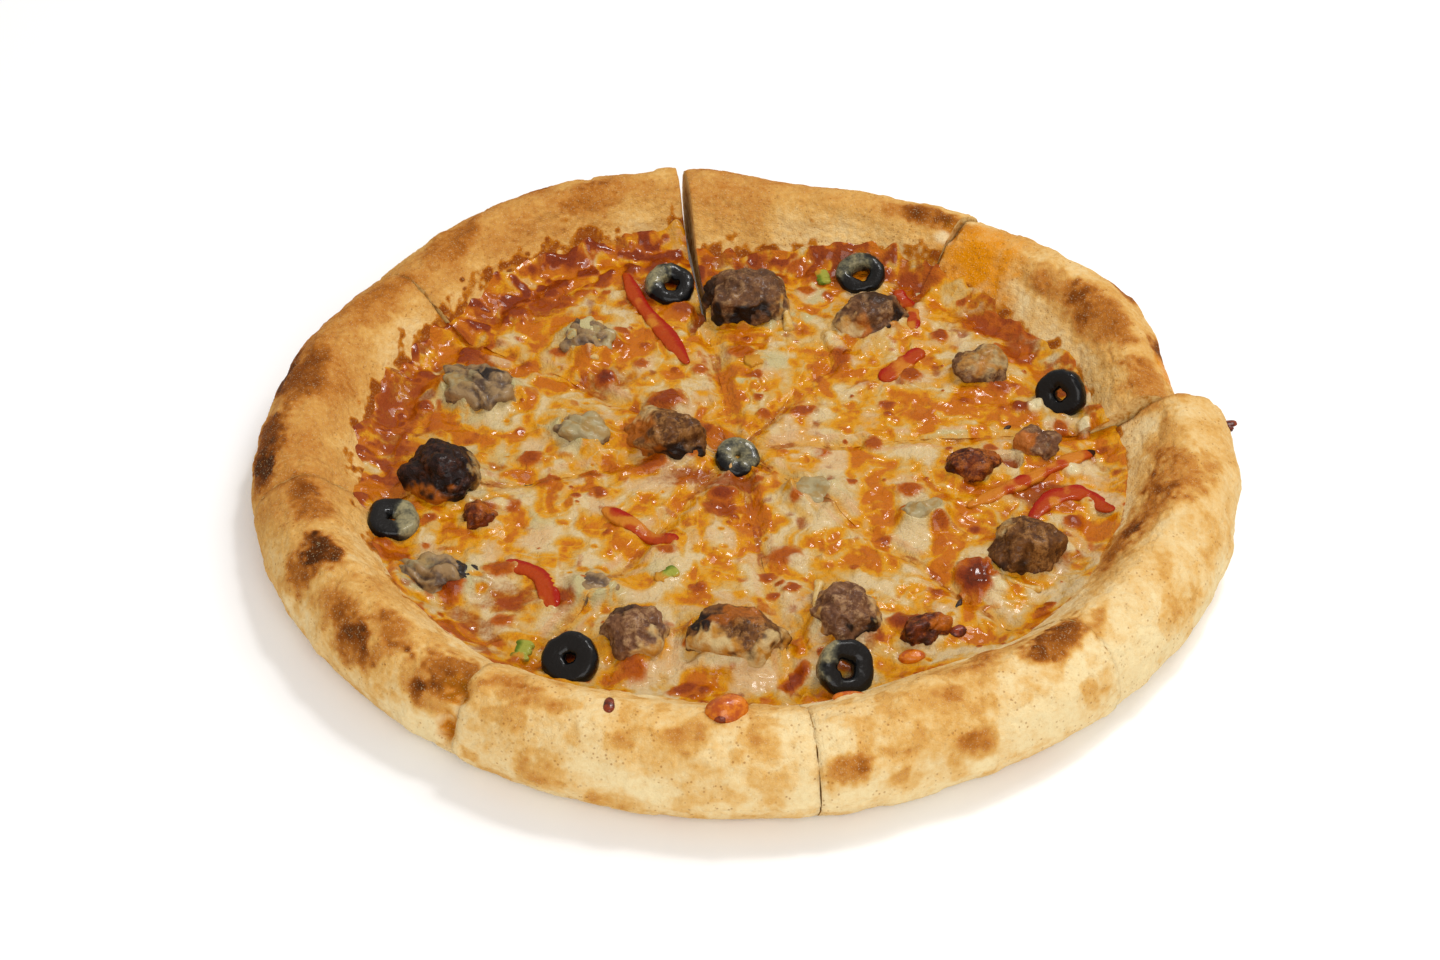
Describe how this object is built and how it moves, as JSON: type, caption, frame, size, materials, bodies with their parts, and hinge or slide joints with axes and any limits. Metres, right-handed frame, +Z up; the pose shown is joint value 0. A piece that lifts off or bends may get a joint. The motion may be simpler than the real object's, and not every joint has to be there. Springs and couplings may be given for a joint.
{
  "type": "meat pizza",
  "caption": "Round baked pizza with a raised browned crust rim, melted cheese, meat chunks, olive rings, pepper strips and mushrooms, cut into wedge slices.",
  "frame": {"origin": "middle of the outline, on the flat underside of the crust", "axes": "+Z up from the underside through the cheese, +Y towards the back of the pizza as pictured, +X to its right"},
  "size_m": [0.2974, 0.2772, 0.0293],
  "materials": {
    "baked_crust": "matte baked dough, golden tan with browned and toasted spots",
    "melted_cheese": "melted cheese over tomato sauce, oily sheen, browned blisters",
    "browned_meat": "browned minced meat, rough with a greasy sheen",
    "cooked_mushroom": "soft grey-brown cooked mushroom",
    "black_olive": "glossy black olive",
    "red_pepper": "glossy roasted red pepper",
    "green_pepper": "glossy roasted green pepper"
  },
  "bodies": {
    "root": {"crust_slice_1": "baked_crust", "crust_slice_2": "baked_crust", "crust_slice_3": "baked_crust", "crust_slice_4": "baked_crust", "crust_slice_5": "baked_crust", "crust_slice_6": "baked_crust", "crust_slice_7": "baked_crust", "crust_slice_8": "baked_crust", "cheese_slice_1": "melted_cheese", "cheese_slice_2": "melted_cheese", "cheese_slice_3": "melted_cheese", "cheese_slice_4": "melted_cheese", "cheese_slice_5": "melted_cheese", "cheese_slice_6": "melted_cheese", "cheese_slice_7": "melted_cheese", "cheese_slice_8": "melted_cheese", "meat_1": "browned_meat", "meat_2": "browned_meat", "meat_3": "browned_meat", "meat_4": "browned_meat", "meat_5": "browned_meat", "meat_6": "browned_meat", "meat_7": "browned_meat", "meat_8": "browned_meat", "meat_9": "browned_meat", "meat_10": "browned_meat", "meat_11": "browned_meat", "meat_12": "browned_meat", "meat_13": "browned_meat", "mushroom_1": "cooked_mushroom", "mushroom_2": "cooked_mushroom", "mushroom_3": "cooked_mushroom", "mushroom_4": "cooked_mushroom", "mushroom_5": "cooked_mushroom", "mushroom_6": "cooked_mushroom", "mushroom_7": "cooked_mushroom", "olive_1": "black_olive", "olive_2": "black_olive", "olive_3": "black_olive", "olive_4": "black_olive", "olive_5": "black_olive", "olive_6": "black_olive", "olive_7": "black_olive", "red_pepper_1": "red_pepper", "red_pepper_2": "red_pepper", "red_pepper_3": "red_pepper", "red_pepper_4": "red_pepper", "red_pepper_5": "red_pepper", "red_pepper_6": "red_pepper", "red_pepper_7": "red_pepper", "green_pepper_1": "green_pepper", "green_pepper_2": "green_pepper", "green_pepper_3": "green_pepper", "green_pepper_4": "green_pepper"}
  },
  "joints": []
}
